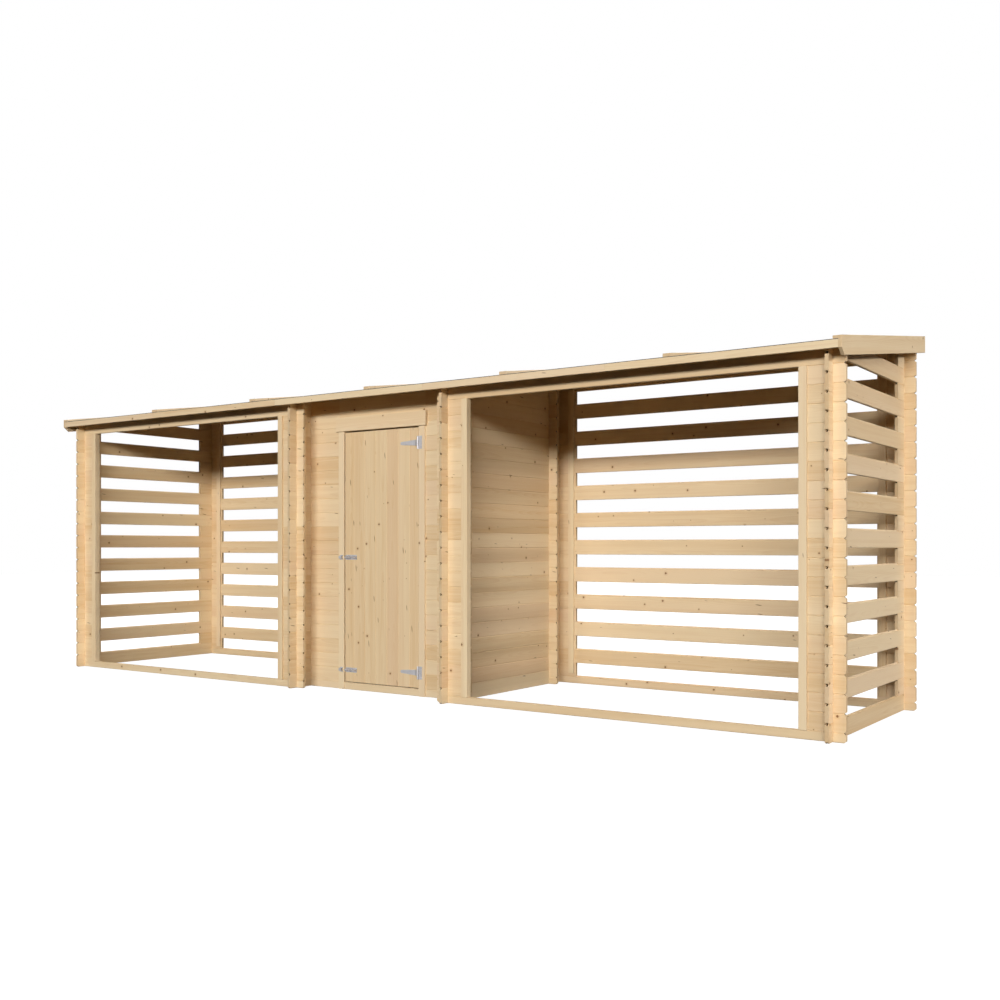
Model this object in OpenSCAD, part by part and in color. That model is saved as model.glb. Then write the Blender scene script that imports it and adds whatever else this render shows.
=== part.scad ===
// Log store: two open bays with a tool shed between them, built of interlocking logs
// under one mono-pitch roof. Millimetres, +Z up, the long front faces -Y.
// The origin is on the ground, at the middle of the roof's outline.
// Y walls carry whole courses from the ground; X walls start with a half log, so that
// the notched logs of the two directions lock half a course apart at every corner.

/* [Logs] */
// Height of one course of logs
log_h = 95; // [90:1:130]
// Thickness of a log
log_t = 19.5; // [16:0.5:28]
// How far log ends run past the wall that they cross
log_tip = 65; // [50:1:90]
// Chamfer along a log's long edges
edge_v = 3; // [1:0.5:4]
// Depth of the vee between the ends of two logs
tip_notch = 9; // [4:0.5:12]
// Height of the tongue on top of an open slat
tongue_h = 6.5; // [4:0.5:8]
// Width of the tongue
tongue_w = 7; // [5:0.5:9]

/* [Layout] */
// Distance between the two partitions, centre to centre
shed_w = 1293; // [1200:10:1800]
// Distance from a partition to the end wall, centre to centre
bay_w = 2371; // [1500:10:2900]
// Distance from the front wall to the back wall, centre to centre
depth = 1294; // [1100:10:1800]
// How far the shed's front and back walls stand inside the bays' walls
shed_set = 138; // [110:1:220]
// Number of full courses in the front wall
front_courses = 20; // [19:1:22]

/* [Bay openings] */
// Length of the short front logs, from the side wall's face to the post's outer edge
front_return = 108; // [90:1:200]
// Width of an opening post
post_w = 43; // [35:1:60]
// How far a post stands proud of the logs, front and back
post_proud = 12; // [6:1:20]
// Depth of the groove that takes the log ends
post_groove = 10; // [9.5:0.5:15]
// Length of the short logs in the back wall's corners
back_return = 137; // [100:1:200]
// Length of the short logs in the end walls' corners
side_return = 130; // [100:1:200]
// Width of a strip on the back wall's corners
strip_w = 43; // [30:1:50]
// Thickness of that strip
strip_t = 15; // [10:1:20]
// Bare log end left beside that strip
strip_margin = 12; // [5:1:20]

/* [Door] */
// Width of the door leaf
leaf_w = 632; // [520:1:760]
// Height of the door leaf
leaf_h = 1668; // [1380:1:1720]
// Thickness of the leaf's boards
leaf_t = 20; // [16:1:28]
// Gap round the leaf
leaf_gap = 6; // [5:0.5:8]
// Gap between the leaf and the threshold
sill_gap = 5.5; // [5:0.5:10]
// Gap over the leaf
head_gap = 9; // [6:0.5:12]
// How far the leaf's front lies behind the jambs' fronts
leaf_set = 6; // [4:0.5:10]
// Width of a jamb
jamb_w = 49; // [40:1:70]
// How far jambs stand proud of the shed's front and inside
jamb_proud = 10; // [8:1:20]
// Height of the casing over the door
head_h = 94; // [70:1:120]
// Thickness of that casing
head_t = 20; // [12:1:28]
// How far the casing runs past each jamb
head_lap = 16; // [5:1:30]
// Height of a ledge on the leaf's inside
ledge_h = 95; // [70:1:120]
// Thickness of a ledge
ledge_t = 19; // [15:1:25]
// Bare leaf left at each end of a ledge
ledge_margin = 40; // [30:5:80]

/* [Hinges and bolts] */
// Radius of a hinge knuckle
knuckle_r = 5.5; // [4:0.5:7]
// Distance from a knuckle's pin to the jambs' front face
pin_stand = 5; // [4.8:0.1:7]
// Length of a hinge strap from its pin
strap_l = 150; // [120:5:200]
// Height of a strap at its pin
strap_h = 36; // [30:1:44]
// Height of a strap at its tip
strap_tip_h = 20; // [10:1:26]
// Width of a hinge plate on the jamb
plate_w = 32; // [26:1:40]
// Height of a hinge plate
plate_h = 82; // [70:1:100]
// Thickness of the hinges' steel
steel_t = 3; // [2:0.5:4]
// Distance from the leaf's top and bottom to a hinge's centre
hinge_inset = 98; // [70:1:200]
// Distance from a knuckle's pin to the bend where its strap meets the leaf
crank_l = 26; // [20:1:32]
// Running gap at the ends of a knuckle
knuckle_gap = 1; // [0.5:0.5:2]
// Radius of a bolt's rod
rod_r = 4.5; // [3.5:0.5:6]
// Travel of a bolt
rod_travel = 35; // [28:1:40]
// Height of a bolt's plate
guide_h = 32; // [24:1:44]
// Length of a bolt's keeper on the jamb
keeper_l = 26; // [20:1:34]
// Height of a bolt's knob over its rod's axis
knob_l = 11; // [8:0.5:14]
// Radius of that knob
knob_r = 3.5; // [2.5:0.5:5]
// Room round a rod in its keeper
keeper_clear = 1.5; // [1:0.5:3]
// Running gap round a rod
rod_clear = 0.5; // [0.3:0.1:1]
// Gap between a rod and the jambs' front face
rod_stand = 2.5; // [2:0.5:5]
// Width of a staple round the rod
staple_w = 14; // [10:1:18]
// Wall of a staple
staple_wall = 3; // [2:0.5:4]
// Thickness of a bolt's plates
plate_t = 2; // [1.5:0.5:3]
// Height of the upper bolt's rod over the leaf's bottom
upper_bolt_rise = 833; // [600:1:1000]
// Height of the lower bolt's rod over the leaf's bottom
lower_bolt_rise = 79; // [60:1:200]

/* [Roof] */
// Slope of the roof, rising to the back
pitch = 8.6; // [6:0.1:12]
// How far the roof runs past the front and back walls
eaves = 122; // [100:1:200]
// Thickness of the roof boards
deck_t = 19; // [16:1:25]
// Thickness of the felt
felt_t = 3; // [2:0.5:4]
// Height of a fascia
fascia_h = 40; // [35:1:90]
// Thickness of a fascia
fascia_t = 18; // [15:1:25]
// Height of a bargeboard
barge_h = 96; // [80:1:140]
// Thickness of a bargeboard
barge_t = 18; // [15:1:25]
// How far a bargeboard's front end is cut back at the bottom
barge_cut = 41; // [20:1:60]
// Width of the battens along the roof's ends
edge_w = 27; // [20:1:60]
// Thickness of those battens
edge_t = 15; // [12:1:25]
// Width of the battens that hold the felt
batten_w = 45; // [30:1:60]
// Thickness of those battens
batten_t = 18; // [12:1:25]
// Number of battens that hold the felt
batten_count = 5; // [2:1:6]
// Spacing of those battens
batten_step = 1045; // [400:5:1200]
// Distance from the left bargeboard to the first batten
batten_start = 1080; // [300:5:1300]

/* [Hidden] */
$fn = 48;

log_colour = [0.87, 0.77, 0.60];
trim_colour = [0.90, 0.80, 0.64];
roof_colour = [0.20, 0.20, 0.19];
steel_colour = [0.75, 0.75, 0.77];

big = 20000;
half_t = log_t / 2;
half_log = log_h / 2;

// Wall places
partition_x = shed_w / 2;
end_x = partition_x + bay_w;
wall_y = depth / 2;
wall_out = wall_y + half_t;
shed_y = wall_y - shed_set;
shed_tip_x = partition_x + half_t + log_tip;
tip_x = end_x + half_t + log_tip;
tip_y = wall_out + log_tip;

// Roof planes: heights over the ground at a given y
eaves_z = (front_courses + 0.5) * log_h;
rise = tan(pitch);
function under_z(y) = eaves_z + (y + wall_out) * rise;
seat = 0.1;
deck_v = deck_t / cos(pitch);
felt_v = felt_t / cos(pitch);
function deck_z(y) = under_z(y) + deck_v;
function felt_z(y) = deck_z(y) + felt_v;
roof_y = wall_out + eaves;
deck_y = roof_y - fascia_t;
roof_in_x = tip_x;
edge_v_t = edge_t / cos(pitch);
batten_v = batten_t / cos(pitch);

// Joint heights, from the ground to over the roof
top_courses = ceil(under_z(tip_y) / log_h) + 1;
y_joints = [for (k = [0:top_courses]) k * log_h];
x_joints = [0, each [for (k = [0:top_courses]) (k + 0.5) * log_h]];
header_z = (front_courses - 0.5) * log_h;
function between(joints, lo, hi) = [for (z = joints) if (z >= lo - 0.01 && z <= hi + 0.01) z];

// Door frame
shed_front_y = -shed_y - half_t;
jamb_front_y = shed_front_y - jamb_proud;
leaf_y = jamb_front_y + leaf_set;
jamb_in_x = leaf_w / 2 + leaf_gap;
jamb_out_x = jamb_in_x + jamb_w;
threshold_top = half_log;
leaf_z = threshold_top + sill_gap;
leaf_top = leaf_z + leaf_h;
door_head_z = leaf_top + head_gap;
pin_x = leaf_w / 2 + leaf_gap / 2;
pin_y = jamb_front_y - pin_stand;
upper_hinge_z = leaf_top - hinge_inset;
lower_hinge_z = leaf_z + hinge_inset;

// Bolts: a rod lies in front of the jambs so that it can cross to its keeper, and rests
// drawn back, with its tip over the leaf
upper_bolt_z = leaf_z + upper_bolt_rise;
lower_bolt_z = leaf_z + lower_bolt_rise;
rod_y = jamb_front_y - rod_r - rod_stand;
rod_set = 4;
rod_x = -leaf_w / 2 + rod_set;
guide_set = 6;
guide_x = -leaf_w / 2 + guide_set;
staple_set = 8;
staple_gap = 13;
staple_r = rod_r + rod_clear + staple_wall;
first_staple_x = guide_x + staple_set;
second_staple_x = first_staple_x + staple_w + staple_gap;
knob_side = 5;
knob_x = second_staple_x + staple_w + knob_side + knob_r + rod_travel;
rod_end = 4;
rod_l = knob_x + knob_r + rod_end - rod_x;
guide_l = rod_x + rod_l - guide_x;
keeper_set = 8;
keeper_x = -jamb_in_x - keeper_set - keeper_l;

// ---- logs -------------------------------------------------------------------

// Cross-section of a pile of logs, chamfered along every joint
function pile_side(joints) = [for (i = [0:len(joints) - 2]) each [
    [half_t - edge_v, joints[i]],
    [half_t, joints[i] + edge_v],
    [half_t, joints[i + 1] - edge_v],
    [half_t - edge_v, joints[i + 1]]]];

module pile_section(joints) {
    side = pile_side(joints);
    far_side = [for (i = [len(side) - 1:-1:0]) [-side[i][0], side[i][1]]];
    polygon(concat(side, far_side));
}

// Outline of the same pile seen from its face, with a vee between the log ends
function pile_end(x, depth_x, joints) = [for (i = [0:len(joints) - 1])
    each (i == 0 || i == len(joints) - 1 ? [[x, joints[i]]] : [
        [x, joints[i] - tip_notch],
        [x + depth_x, joints[i]],
        [x, joints[i] + tip_notch]])];

module pile_face(x0, x1, joints) {
    right = pile_end(x1, -tip_notch, joints);
    left = pile_end(x0, tip_notch, joints);
    polygon(concat(right, [for (i = [len(left) - 1:-1:0]) left[i]]));
}

// A pile of logs along X, centred on y = 0
module pile(x0, x1, joints) {
    intersection() {
        translate([x0, 0, 0]) rotate([90, 0, 90]) linear_extrude(x1 - x0) pile_section(joints);
        translate([0, half_t, 0]) rotate([90, 0, 0]) linear_extrude(log_t) pile_face(x0, x1, joints);
    }
}

// What the crossing wall takes at a corner. The first slot starts at part of a course.
module corner_slots(x, first, z_max) {
    for (z = [first:log_h:z_max])
        translate([x - half_t, -log_t, z])
            cube([log_t, 2 * log_t, half_log]);
}

module x_pile(x0, x1, y, joints, crossings) {
    last = joints[len(joints) - 1];
    translate([0, y, 0])
        difference() {
            pile(x0, x1, joints);
            for (x = crossings) corner_slots(x, log_h / 4, last);
        }
}

module y_pile(y0, y1, x, joints, crossings) {
    last = joints[len(joints) - 1];
    translate([x, 0, 0])
        rotate([0, 0, 90])
            difference() {
                pile(y0, y1, joints);
                for (y = crossings) corner_slots(y, -log_h / 4, last);
            }
}

// Everything below the roof boards, a seat's gap clear of them
module under_roof() {
    translate([-big / 2, 0, 0])
        rotate([90, 0, 90])
            linear_extrude(big)
                polygon([
                    [-deck_y, -log_h],
                    [deck_y, -log_h],
                    [deck_y, under_z(deck_y) - seat],
                    [-deck_y, under_z(-deck_y) - seat]]);
}

// Gaps between slats: every second course of a pile is left out between two ends
module slat_gaps(x0, x1, first, z_max) {
    for (z = [first:2 * log_h:z_max])
        translate([x0, -log_t, z]) cube([x1 - x0, 2 * log_t, log_h]);
}

module slat_tongues(x0, x1, first, z_max) {
    for (z = [first:2 * log_h:z_max])
        translate([x0, -tongue_w / 2, z]) cube([x1 - x0, tongue_w, tongue_h]);
}

// ---- walls ------------------------------------------------------------------

module end_wall(side) {
    gap_y = wall_y - half_t - side_return;
    last = y_joints[len(y_joints) - 1];
    color(log_colour)
        intersection() {
            union() {
                difference() {
                    y_pile(-tip_y, tip_y, side * end_x, y_joints, [-wall_y, wall_y]);
                    translate([side * end_x, 0, 0])
                        rotate([0, 0, 90]) slat_gaps(-gap_y, gap_y, log_h, last);
                }
                translate([side * end_x, 0, 0])
                    rotate([0, 0, 90]) slat_tongues(-gap_y, gap_y, log_h, last);
            }
            under_roof();
        }
}

module partition_wall(side) {
    color(log_colour)
        intersection() {
            y_pile(-tip_y, tip_y, side * partition_x, y_joints, [-wall_y, -shed_y, shed_y, wall_y]);
            under_roof();
        }
}

// Bays run from log tip to log tip past the partition and the end wall
module bay_pile(side, x0, x1, y, joints, crossings) {
    lo = side > 0 ? x0 : -x1;
    hi = side > 0 ? x1 : -x0;
    intersection() {
        x_pile(lo, hi, y, joints, [for (x = crossings) side * x]);
        under_roof();
    }
}

bay_x0 = partition_x - half_t - log_tip;
bay_in_x0 = partition_x + half_t;
bay_in_x1 = end_x - half_t;

module bay_sill(side) {
    color(log_colour)
        bay_pile(side, bay_x0, tip_x, -wall_y, between(x_joints, 0, half_log), [partition_x, end_x]);
}

module bay_header(side) {
    color(log_colour)
        bay_pile(side, bay_x0, tip_x, -wall_y, between(x_joints, header_z, eaves_z + log_h), [partition_x, end_x]);
}

module bay_inner_stack(side) {
    color(log_colour)
        bay_pile(side, bay_x0, bay_in_x0 + front_return + post_groove, -wall_y,
            between(x_joints, half_log, header_z), [partition_x]);
}

module bay_outer_stack(side) {
    color(log_colour)
        bay_pile(side, bay_in_x1 - front_return - post_groove, tip_x, -wall_y,
            between(x_joints, half_log, header_z), [end_x]);
}

// A grooved post: dir is the side on which the logs enter
module opening_post(x, dir) {
    post_d = log_t + 2 * post_proud;
    difference() {
        translate([x - post_w / 2, -wall_y - post_d / 2, half_log])
            cube([post_w, post_d, header_z - half_log]);
        translate([x + dir * post_w / 2 - post_groove, -wall_y - half_t, 0])
            cube([2 * post_groove, log_t, big]);
    }
}

module bay_posts(side) {
    color(trim_colour) {
        opening_post(side * (bay_in_x0 + front_return + post_w / 2), -side);
        opening_post(side * (bay_in_x1 - front_return - post_w / 2), side);
    }
}

module bay_back_wall(side) {
    gap_x0 = bay_in_x0 + back_return;
    gap_x1 = bay_in_x1 - back_return;
    lo = side > 0 ? gap_x0 : -gap_x1;
    hi = side > 0 ? gap_x1 : -gap_x0;
    top_gap = (floor(under_z(wall_y) / log_h) - 1) * log_h;
    color(log_colour) {
        difference() {
            bay_pile(side, bay_x0, tip_x, wall_y, x_joints, [partition_x, end_x]);
            translate([0, wall_y, 0]) slat_gaps(lo, hi, half_log, top_gap);
        }
        translate([0, wall_y, 0]) slat_tongues(lo, hi, half_log, top_gap);
    }
}

module back_strip(x) {
    y1 = wall_y - half_t;
    z0 = 0.75 * log_h;
    intersection() {
        translate([x - strip_w / 2, y1 - strip_t, z0]) cube([strip_w, strip_t, big]);
        under_roof();
    }
}

module bay_back_strips(side) {
    reach = back_return - strip_margin - strip_w / 2;
    color(trim_colour) {
        back_strip(side * (bay_in_x0 + reach));
        back_strip(side * (bay_in_x1 - reach));
    }
}

// ---- shed -------------------------------------------------------------------

module shed_back_wall() {
    color(log_colour)
        intersection() {
            x_pile(-shed_tip_x, shed_tip_x, shed_y, x_joints, [-partition_x, partition_x]);
            under_roof();
        }
}

module shed_front_side(side) {
    color(log_colour)
        bay_pile(side, jamb_out_x, shed_tip_x, -shed_y, x_joints, [partition_x]);
}

module shed_front_over_door() {
    color(log_colour)
        intersection() {
            x_pile(-jamb_out_x, jamb_out_x, -shed_y, x_joints, []);
            under_roof();
            translate([-big / 2, -big / 2, door_head_z]) cube(big);
        }
}

module shed_threshold() {
    color(log_colour)
        translate([-jamb_in_x, leaf_y, 0])
            cube([2 * jamb_in_x, -shed_y + half_t - leaf_y, threshold_top]);
}

module door_jamb(side) {
    color(trim_colour)
        translate([side * (jamb_in_x + jamb_w / 2) - jamb_w / 2, jamb_front_y, 0])
            cube([jamb_w, log_t + 2 * jamb_proud, door_head_z]);
}

module door_head_casing() {
    half_l = jamb_out_x + head_lap;
    color(trim_colour)
        translate([-half_l, shed_front_y - head_t, door_head_z])
            cube([2 * half_l, head_t, head_h]);
}

// ---- roof -------------------------------------------------------------------

// A slab between two lines parallel to the roof, from y0 to y1
module roof_slab(x0, x1, y0, y1, lower, upper) {
    translate([x0, 0, 0])
        rotate([90, 0, 90])
            linear_extrude(x1 - x0)
                polygon([
                    [y0, under_z(y0) + lower],
                    [y1, under_z(y1) + lower],
                    [y1, under_z(y1) + upper],
                    [y0, under_z(y0) + upper]]);
}

module roof_deck() {
    color(trim_colour) roof_slab(-roof_in_x, roof_in_x, -deck_y, deck_y, 0, deck_v);
}

module roof_felt() {
    color(roof_colour) roof_slab(-roof_in_x, roof_in_x, -roof_y, roof_y, deck_v, deck_v + felt_v);
}

// A fascia's top follows the roof's slope
module fascia(y0, y1) {
    top = deck_z(y0);
    color(trim_colour)
        translate([-roof_in_x, 0, 0])
            rotate([90, 0, 90])
                linear_extrude(2 * roof_in_x)
                    polygon([[y0, top - fascia_h], [y1, top - fascia_h], [y1, deck_z(y1)], [y0, top]]);
}

module bargeboard(side) {
    top = deck_v + felt_v + edge_v_t;
    low = top - barge_h / cos(pitch);
    front = under_z(-roof_y);
    color(trim_colour)
        translate([side * (roof_in_x + barge_t / 2) - barge_t / 2, 0, 0])
            rotate([90, 0, 90])
                linear_extrude(barge_t)
                    polygon([
                        [-roof_y, front + top],
                        [-roof_y, front + deck_v - fascia_h],
                        [-roof_y + barge_cut, under_z(-roof_y + barge_cut) + low],
                        [roof_y, under_z(roof_y) + low],
                        [roof_y, under_z(roof_y) + top]]);
}

module roof_edge_battens() {
    low = deck_v + felt_v;
    color(trim_colour)
        for (side = [-1, 1]) {
            x = side * (roof_in_x - edge_w / 2);
            roof_slab(x - edge_w / 2, x + edge_w / 2, -roof_y, roof_y, low, low + edge_v_t);
        }
}

module felt_battens() {
    low = deck_v + felt_v;
    color(trim_colour)
        for (i = [0:batten_count - 1]) {
            x = -roof_in_x + batten_start + i * batten_step;
            roof_slab(x, x + batten_w, -roof_y, roof_y, low, low + batten_v);
        }
}

// ---- door -------------------------------------------------------------------

module door_leaf() {
    color(trim_colour)
        translate([-leaf_w / 2, leaf_y, leaf_z]) cube([leaf_w, leaf_t, leaf_h]);
}

// A ledge behind each hinge and one between them, clear of the jambs
module door_ledges() {
    ledge_w = leaf_w - 2 * ledge_margin;
    color(trim_colour)
        for (z = [lower_hinge_z, (lower_hinge_z + upper_hinge_z) / 2, upper_hinge_z])
            translate([-ledge_w / 2, leaf_y + leaf_t, z - ledge_h / 2]) cube([ledge_w, ledge_t, ledge_h]);
}

module knuckle(z0, z1) {
    translate([pin_x, pin_y, z0]) cylinder(h = z1 - z0, r = knuckle_r);
}

module hinge_plate(z) {
    free = strap_h / 2 + knuckle_gap;
    cut_x = pin_x + knuckle_r + knuckle_gap;
    difference() {
        union() {
            translate([pin_x, jamb_front_y - steel_t, z - plate_h / 2])
                cube([plate_w, steel_t, plate_h]);
            knuckle(z - plate_h / 2, z - free);
            knuckle(z + free, z + plate_h / 2);
        }
        translate([cut_x - 4 * knuckle_r, pin_y - 2 * knuckle_r, z - free])
            cube([4 * knuckle_r, 4 * knuckle_r, 2 * free]);
    }
}

// A tapered strap with a round tip, cranked forward from the leaf's face to its knuckle
module hinge_strap(z) {
    tip_r = strap_tip_h / 2;
    bend_x = pin_x - crank_l;
    tip_x = pin_x - strap_l + tip_r;
    translate([0, leaf_y, z])
        rotate([90, 0, 0])
            linear_extrude(steel_t) {
                polygon([[bend_x, -strap_h / 2], [bend_x, strap_h / 2], [tip_x, tip_r], [tip_x, -tip_r]]);
                translate([tip_x, 0]) circle(tip_r);
            }
    translate([0, 0, z - strap_h / 2])
        linear_extrude(strap_h)
            polygon([
                [bend_x, leaf_y],
                [bend_x, leaf_y - steel_t],
                [pin_x - crank_l / 2, pin_y - steel_t / 3],
                [pin_x, pin_y - steel_t],
                [pin_x, pin_y],
                [pin_x - crank_l / 2, pin_y + steel_t],
                [bend_x + steel_t, leaf_y]]);
    knuckle(z - strap_h / 2, z + strap_h / 2);
}

module hinge_plates() {
    color(steel_colour) for (z = [upper_hinge_z, lower_hinge_z]) hinge_plate(z);
}

module hinge_straps() {
    color(steel_colour) for (z = [upper_hinge_z, lower_hinge_z]) hinge_strap(z);
}

// A staple round the rod, standing on the face at y
module staple(x, y, z) {
    difference() {
        union() {
            translate([x, rod_y, z - staple_r]) cube([staple_w, y - rod_y, 2 * staple_r]);
            translate([x, rod_y, z]) rotate([0, 90, 0]) cylinder(h = staple_w, r = staple_r);
        }
        translate([x - 1, rod_y, z])
            rotate([0, 90, 0]) cylinder(h = staple_w + 2, r = rod_r + rod_clear);
        translate([x - 1, y, z - 2 * staple_r]) cube([staple_w + 2, staple_r, 4 * staple_r]);
    }
}

module bolt_guide(z) {
    face_y = leaf_y - plate_t;
    translate([guide_x, face_y, z - guide_h / 2]) cube([guide_l, plate_t, guide_h]);
    staple(first_staple_x, face_y, z);
    staple(second_staple_x, face_y, z);
}

// A square staple on the jamb between two flat lugs, open towards the rod at both ends
module bolt_keeper(z) {
    room = rod_r + keeper_clear;
    out = room + staple_wall;
    lug_h = guide_h / 2 - out;
    top_y = rod_y - room - staple_wall;
    for (edge = [z - out, z + room])
        translate([keeper_x, top_y, edge]) cube([keeper_l, jamb_front_y - top_y, staple_wall]);
    translate([keeper_x, top_y, z - room]) cube([keeper_l, staple_wall, 2 * room]);
    for (edge = [z - guide_h / 2, z + out])
        translate([keeper_x, jamb_front_y - plate_t, edge]) cube([keeper_l, plate_t, lug_h]);
}

module bolt_rod(z) {
    color(steel_colour) {
        translate([rod_x, rod_y, z]) rotate([0, 90, 0]) cylinder(h = rod_l, r = rod_r);
        translate([knob_x, rod_y, z]) rotate([90, 0, 0]) cylinder(h = knob_l, r = knob_r);
    }
}

module bolt_guides() {
    color(steel_colour) for (z = [upper_bolt_z, lower_bolt_z]) bolt_guide(z);
}

module bolt_keepers() {
    color(steel_colour) for (z = [upper_bolt_z, lower_bolt_z]) bolt_keeper(z);
}

// ---- the store --------------------------------------------------------------

end_wall(-1);  // left_end_wall
end_wall(1);  // right_end_wall
partition_wall(-1);  // left_partition
partition_wall(1);  // right_partition
bay_sill(-1);  // left_bay_sill
bay_sill(1);  // right_bay_sill
bay_header(-1);  // left_bay_header
bay_header(1);  // right_bay_header
bay_outer_stack(-1);  // left_bay_outer_stack
bay_inner_stack(-1);  // left_bay_inner_stack
bay_inner_stack(1);  // right_bay_inner_stack
bay_outer_stack(1);  // right_bay_outer_stack
bay_posts(-1);  // left_bay_posts
bay_posts(1);  // right_bay_posts
bay_back_wall(-1);  // left_bay_back_wall
bay_back_wall(1);  // right_bay_back_wall
bay_back_strips(-1);  // left_bay_back_strips
bay_back_strips(1);  // right_bay_back_strips
shed_back_wall();
shed_front_side(-1);  // shed_front_left
shed_front_side(1);  // shed_front_right
shed_front_over_door();
shed_threshold();
door_jamb(-1);  // left_door_jamb
door_jamb(1);  // right_door_jamb
door_head_casing();
roof_deck();
roof_felt();
fascia(-roof_y, -deck_y);  // front_fascia
fascia(deck_y, roof_y);  // back_fascia
bargeboard(-1);  // left_bargeboard
bargeboard(1);  // right_bargeboard
roof_edge_battens();
felt_battens();
hinge_plates();
bolt_keepers();
door_leaf();
door_ledges();
hinge_straps();
bolt_guides();
bolt_rod(upper_bolt_z);  // upper_bolt_rod
bolt_rod(lower_bolt_z);  // lower_bolt_rod
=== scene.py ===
# %% [markdown]
# # A long timber log store
#
# Two open bays for firewood stand either side of a narrow tool shed. The walls are thin
# machined logs that lock together at the corners, and one lean-to roof covers all three.
# The imported model gives every size. We load it first and keep its box.

# %% Load the imported model
import math
import random

import bpy
import numpy as np
from mathutils import Matrix, Vector


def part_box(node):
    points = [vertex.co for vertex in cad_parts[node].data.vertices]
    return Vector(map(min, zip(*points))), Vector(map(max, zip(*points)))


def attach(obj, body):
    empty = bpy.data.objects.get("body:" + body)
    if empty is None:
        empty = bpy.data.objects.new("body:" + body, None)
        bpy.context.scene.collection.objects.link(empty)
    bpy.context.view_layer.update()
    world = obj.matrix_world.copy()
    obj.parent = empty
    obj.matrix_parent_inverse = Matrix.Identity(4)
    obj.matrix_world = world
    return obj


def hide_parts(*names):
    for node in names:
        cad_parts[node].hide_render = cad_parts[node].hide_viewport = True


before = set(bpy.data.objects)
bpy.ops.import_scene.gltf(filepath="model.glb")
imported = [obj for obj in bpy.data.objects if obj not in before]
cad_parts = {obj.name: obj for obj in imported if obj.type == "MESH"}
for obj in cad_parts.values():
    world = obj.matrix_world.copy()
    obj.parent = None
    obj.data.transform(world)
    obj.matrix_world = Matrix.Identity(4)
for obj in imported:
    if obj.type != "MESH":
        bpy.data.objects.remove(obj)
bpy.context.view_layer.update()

# %% [markdown]
# ## Camera
#
# The store is seen from the right, at a standing child's eye height. The camera stays level,
# so that posts look upright, and a small lens shift places the store in the frame. Tilting
# the camera would do that too, but it would make the uprights lean together.

# %% Camera
camera_data = bpy.data.cameras.new("camera")
camera_data.sensor_width = 36
camera_data.lens = 39.69
camera_data.shift_y = 0.0466
camera = bpy.data.objects.new("camera", camera_data)
camera.location = (4.7683, -6.0127, 0.9574)
camera.rotation_euler = (math.radians(90), 0, math.radians(34.81))
bpy.context.scene.collection.objects.link(camera)
bpy.context.scene.camera = camera
print("camera at", tuple(round(v, 2) for v in camera.location))

# %% [markdown]
# ## Helpers for shaping
#
# Every piece of timber starts as a cube that is stretched to its size and then worked in edit
# mode. An operator acts on whatever is selected, so each helper first clears the selection
# and then selects by place or direction. Choosing by rule, not by number, keeps working
# when a size changes.

# %% Shaping helpers
X, Y, Z = 0, 1, 2
ALONG_AXIS, ACROSS_AXIS = 0.9, 0.1


def runs(way, axis):
    """Whether a direction runs along an axis, either way."""
    return abs(way[axis]) > ALONG_AXIS


def crosses(way, axis):
    """Whether a direction lies square to an axis."""
    return abs(way[axis]) < ACROSS_AXIS


def select_only(piece):
    """Makes this the only selected object, and the active one."""
    bpy.ops.object.select_all(action="DESELECT")
    piece.select_set(True)
    bpy.context.view_layer.objects.active = piece


def block(name, low, high):
    """A cube stretched to fill the box from low to high."""
    low, high = Vector(low), Vector(high)
    bpy.ops.object.select_all(action="DESELECT")
    bpy.ops.mesh.primitive_cube_add(size=1, location=(low + high) / 2, scale=high - low)
    bpy.ops.object.transform_apply(location=True, rotation=True, scale=True)
    piece = bpy.context.object
    piece.name = piece.data.name = name
    return piece


def edit_edges(piece, wanted):
    """Opens edit mode with only those edges selected whose middle and direction are wanted."""
    select_only(piece)
    bpy.ops.object.mode_set(mode="EDIT")
    bpy.ops.mesh.select_mode(type="EDGE")
    bpy.ops.mesh.select_all(action="DESELECT")
    bpy.ops.object.mode_set(mode="OBJECT")
    points = piece.data.vertices
    for edge in piece.data.edges:
        start, end = (points[i].co for i in edge.vertices)
        edge.select = wanted((start + end) / 2, (end - start).normalized())
    bpy.ops.object.mode_set(mode="EDIT")


def bevel_edges(piece, wanted, width, steps=1):
    """Bevels the edges that are wanted."""
    edit_edges(piece, wanted)
    bpy.ops.mesh.bevel(offset=width, segments=steps, affect="EDGES")
    bpy.ops.object.mode_set(mode="OBJECT")


def carve(piece, cutters):
    """Takes the cutters' shapes out of a piece, and removes the cutters."""
    for cutter in cutters:
        cut = piece.modifiers.new("cut", "BOOLEAN")
        cut.operation = "DIFFERENCE"
        cut.solver = "EXACT"
        cut.object = cutter
        select_only(piece)
        bpy.ops.object.modifier_apply(modifier=cut.name)
        bpy.data.objects.remove(cutter)


def join(name, pieces):
    """Joins pieces into one object with this name."""
    select_only(pieces[0])
    for piece in pieces[1:]:
        piece.select_set(True)
    if len(pieces) > 1:
        bpy.ops.object.join()
    whole = bpy.context.object
    whole.name = whole.data.name = name
    return whole


def copy_of(master, place):
    """A copy with its own mesh, put in place."""
    piece = master.copy()
    piece.data = master.data.copy()
    piece.data.transform(place)
    bpy.context.scene.collection.objects.link(piece)
    return piece


print("shaping helpers ready")

# %% [markdown]
# ## The grain of each timber
#
# Real boards are cut from different parts of different trees, so no two share a grain. Each
# piece gets an attribute called grain: its own place along, through and across the timber,
# moved to a random spot in an imagined tree. A second one, tone, says how dark it is, and a
# third marks sawn ends. The wood material reads all three, so the grain follows each board
# whichever way it lies.

# %% Timber attributes
chance = random.Random(11)
FAR_ALONG = 40.0
# how far the tree's middle lies from a board's, through it and across it
PITH_NEAR, PITH_FAR = 0.028, 0.075
PITH_SIDE = 0.045
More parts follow.
